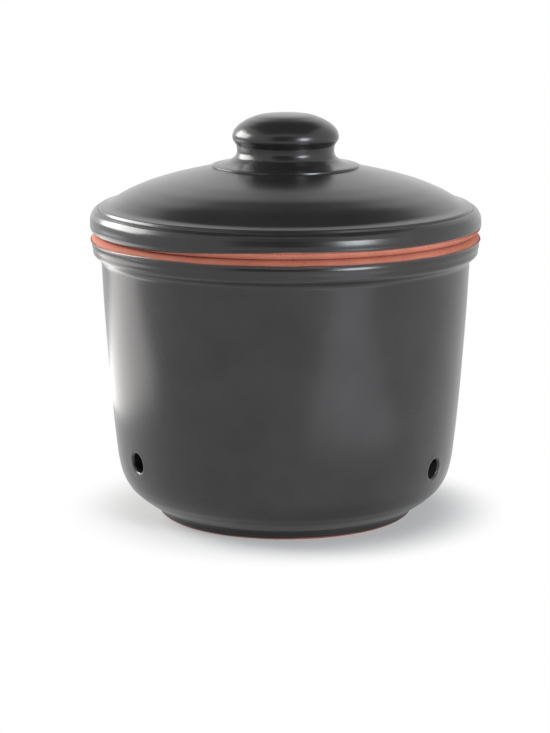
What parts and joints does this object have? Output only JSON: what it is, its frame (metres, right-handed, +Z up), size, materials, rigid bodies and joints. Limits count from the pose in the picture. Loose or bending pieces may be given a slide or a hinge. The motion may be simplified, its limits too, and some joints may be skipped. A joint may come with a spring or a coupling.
{
  "type": "garlic keeper",
  "caption": "Round vented clay pot with foot ring, collar and bare rim, and a loose domed lid with a mushroom knob; dark satin glaze outside.",
  "frame": {"origin": "centre of the foot ring's bearing face, on the table", "axes": "+Z up along the axis the pot and lid are turned about; the front faces -Y, midway between two of the air vents"},
  "size_m": [0.1358, 0.1358, 0.1403],
  "materials": {
    "fired_clay": "unglazed terracotta, fine grained, matt",
    "dark_glaze": "charcoal satin glaze"
  },
  "bodies": {
    "pot": {"pot_body": "fired_clay", "pot_glaze": "dark_glaze"},
    "lid": {"lid_body": "fired_clay", "lid_knob": "fired_clay", "lid_glaze": "dark_glaze"}
  },
  "joints": [
    {"name": "lid_lift", "type": "slide", "parent": "pot", "child": "lid", "axis": [0, 0, 1], "range_m": [0, 0.06]}
  ]
}
